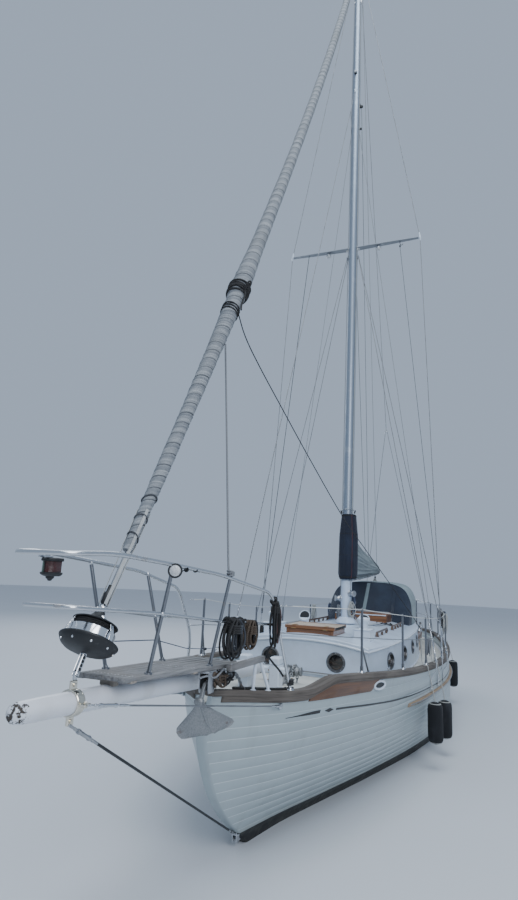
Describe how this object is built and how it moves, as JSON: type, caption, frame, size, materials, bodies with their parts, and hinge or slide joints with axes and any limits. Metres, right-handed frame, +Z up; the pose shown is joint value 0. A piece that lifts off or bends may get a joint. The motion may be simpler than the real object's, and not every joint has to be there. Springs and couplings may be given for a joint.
{
  "type": "sailing yacht",
  "caption": "Double-ended cutter afloat: planked white hull, full keel, cabin trunk, bowsprit with platform, furled headsail, covered mainsail on a swinging boom, canvas dodger.",
  "frame": {"origin": "on the waterline amidships, on the boat's centre line", "axes": "+X to the bow, +Y to port, +Z up; the waterline is the plane Z = 0"},
  "size_m": [12.8486, 2.9863, 16.5011],
  "materials": {
    "hull_paint": "white gloss topsides over black bottom paint",
    "deck_paint": "matt non-slip cream",
    "white_paint": "white gloss",
    "teak_grey": "weathered bare teak",
    "teak_varnish": "varnished",
    "steel": "polished stainless",
    "alloy": "anodised",
    "white_spar": "white paint",
    "navy_canvas": "woven acrylic canvas",
    "cover_canvas": "striped woven canvas",
    "sail": "rolled sailcloth",
    "black_gear": "satin black",
    "black_cloth": "knitted black cover",
    "rudder_paint": "white above, black bottom paint below",
    "galvanised": "galvanised",
    "bronze": "dull bronze",
    "lamp": "red and dark lamp body"
  },
  "bodies": {
    "yacht": {"hull": "hull_paint", "deck": "deck_paint", "bulwark_port": "white_paint", "bulwark_starboard": "white_paint", "cap_rail_port": "teak_grey", "cap_rail_starboard": "teak_grey", "rail_panel_port": "teak_varnish", "rail_panel_starboard": "teak_varnish", "rub_strake_port": "teak_grey", "rub_strake_starboard": "teak_grey", "cabin_trunk": "white_paint", "cabin_roof": "deck_paint", "fore_hatch_frame": "teak_varnish", "hatch_hood": "teak_varnish", "washboards": "teak_varnish", "ventilator_port": "white_paint", "ventilator_starboard": "white_paint", "coaming_port": "teak_varnish", "coaming_starboard": "teak_varnish", "cockpit_grating": "teak_grey", "bowsprit": "white_spar", "bitts": "teak_grey", "cranse_band": "steel", "bobstay": "black_gear", "whisker_stay_port": "steel", "whisker_stay_starboard": "steel", "platform": "teak_grey", "bow_pulpit": "steel", "stern_rail": "steel", "lifelines_port": "steel", "lifelines_starboard": "steel", "mast": "alloy", "gooseneck": "steel", "masthead": "alloy", "mast_collar": "navy_canvas", "spreader_port": "alloy", "spreader_starboard": "alloy", "cap_shroud_port": "steel", "cap_shroud_starboard": "steel", "lower_shrouds_port": "steel", "lower_shrouds_starboard": "steel", "backstay": "steel", "furled_headsail": "sail", "furler_drum": "black_gear", "dodger": "navy_canvas", "dodger_frame": "steel", "anchor": "galvanised", "anchor_roller": "steel", "bow_lamp": "lamp", "windlass": "galvanised", "fender_1": "black_cloth", "fender_2": "black_cloth", "fender_3": "black_cloth"},
    "rudder_body": {"rudder": "rudder_paint", "tiller": "teak_varnish"},
    "propeller_body": {"propeller": "bronze"},
    "boom_body": {"boom": "white_spar", "sail_cover": "cover_canvas"},
    "fore_hatch_body": {"fore_hatch": "teak_varnish"},
    "sliding_hatch_body": {"sliding_hatch": "teak_varnish"}
  },
  "joints": [
    {"name": "rudder_swing", "type": "hinge", "parent": "yacht", "child": "rudder_body", "pos_m": [-4.79118, 0, 0], "axis": [-0.3919, 0, 0.92], "range_deg": [-35, 35]},
    {"name": "propeller_spin", "type": "hinge", "parent": "yacht", "child": "propeller_body", "pos_m": [-4.15, 0, -0.93], "axis": [1, 0, 0], "continuous": true},
    {"name": "boom_swing", "type": "hinge", "parent": "yacht", "child": "boom_body", "pos_m": [0.25445, 0, 2.29], "axis": [0, 0, 1], "range_deg": [-64, 56]},
    {"name": "fore_hatch_lift", "type": "hinge", "parent": "yacht", "child": "fore_hatch_body", "pos_m": [2.415, 0, 1.6323], "axis": [0, 1, 0], "range_deg": [0, 95]},
    {"name": "sliding_hatch_slide", "type": "slide", "parent": "yacht", "child": "sliding_hatch_body", "axis": [1, 0, 0], "range_m": [0, 0.55]}
  ]
}
